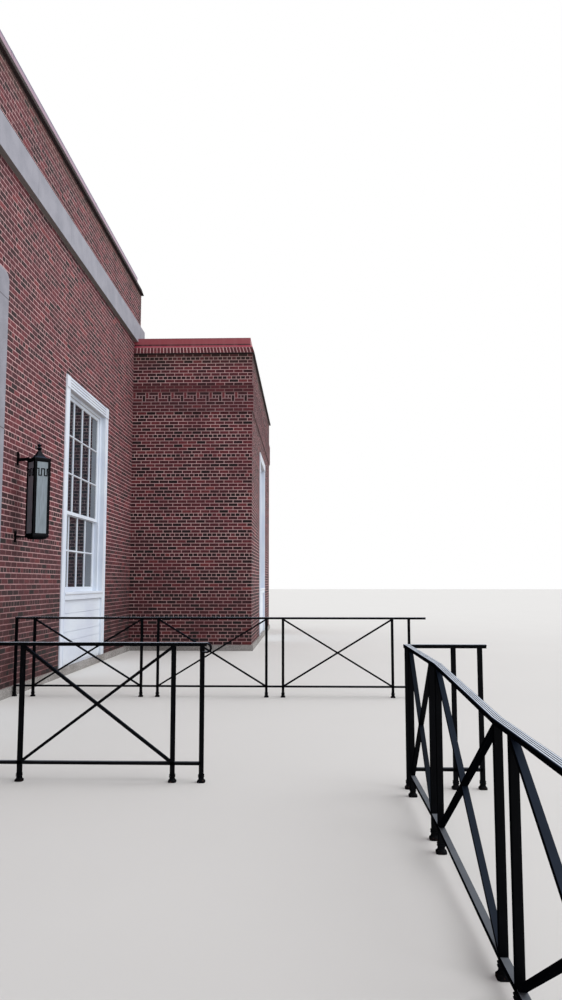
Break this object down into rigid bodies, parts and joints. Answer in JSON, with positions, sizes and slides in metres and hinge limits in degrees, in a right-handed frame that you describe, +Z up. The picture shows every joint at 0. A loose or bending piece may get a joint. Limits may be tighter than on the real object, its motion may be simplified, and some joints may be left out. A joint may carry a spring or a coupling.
{
  "type": "post office building",
  "caption": "Flat-roofed brick post office: tall main block with limestone frieze between two lower forward wings, tall sash windows, moulded entrance, lanterns and iron railings.",
  "frame": {"origin": "on the ground at the middle of the entrance, on the outer face of the main front wall", "axes": "+X along the front to the right wing, +Y into the building, +Z up"},
  "size_m": [33.34, 19.213, 8.1772],
  "materials": {
    "brick": "wire-cut facing brick in pinkish mortar, matt",
    "limestone": "smooth cut limestone, matt",
    "granite": "fine-picked granite, matt",
    "painted_wood": "white oil paint on joinery, satin",
    "window_glass": "clear float glass",
    "frosted_glass": "white opal glass, satin",
    "coping_metal": "factory-painted sheet metal, satin",
    "grey_coping_metal": "weathered painted sheet metal, satin",
    "black_iron": "black gloss paint on iron",
    "roofing": "rolled roof membrane, matt",
    "floor": "ground terrazzo, satin"
  },
  "bodies": {
    "root": {"back_window_aprons": "painted_wood", "back_window_frames": "painted_wood", "back_window_glass": "window_glass", "back_window_sashes": "painted_wood", "doorstep": "granite", "entrance_doors": "painted_wood", "entrance_frame": "painted_wood", "entrance_glass": "window_glass", "entrance_surround": "limestone", "far_rail": "black_iron", "front_window_aprons": "painted_wood", "front_window_frames": "painted_wood", "front_window_glass": "window_glass", "front_window_sashes": "painted_wood", "lantern_brackets": "black_iron", "lantern_frames": "black_iron", "lantern_glass": "frosted_glass", "left_wing_back_wall": "brick", "left_wing_coping": "coping_metal", "left_wing_front_wall": "brick", "left_wing_inner_wall": "brick", "left_wing_outer_wall": "brick", "main_back_wall": "brick", "main_coping": "grey_coping_metal", "main_floor": "floor", "main_front_wall": "brick", "main_left_wall": "brick", "main_right_wall": "brick", "main_roof": "roofing", "near_rail": "black_iron", "right_wing_back_wall": "brick", "right_wing_coping": "coping_metal", "right_wing_front_wall": "brick", "right_wing_inner_wall": "brick", "right_wing_outer_wall": "brick", "side_window_aprons": "painted_wood", "side_window_frames": "painted_wood", "side_window_glass": "window_glass", "side_window_sashes": "painted_wood", "step_rail": "black_iron", "stone_base": "granite", "stone_frieze": "limestone", "walk_rail": "black_iron", "wing_floors": "floor", "wing_roofs": "roofing"}
  },
  "joints": []
}
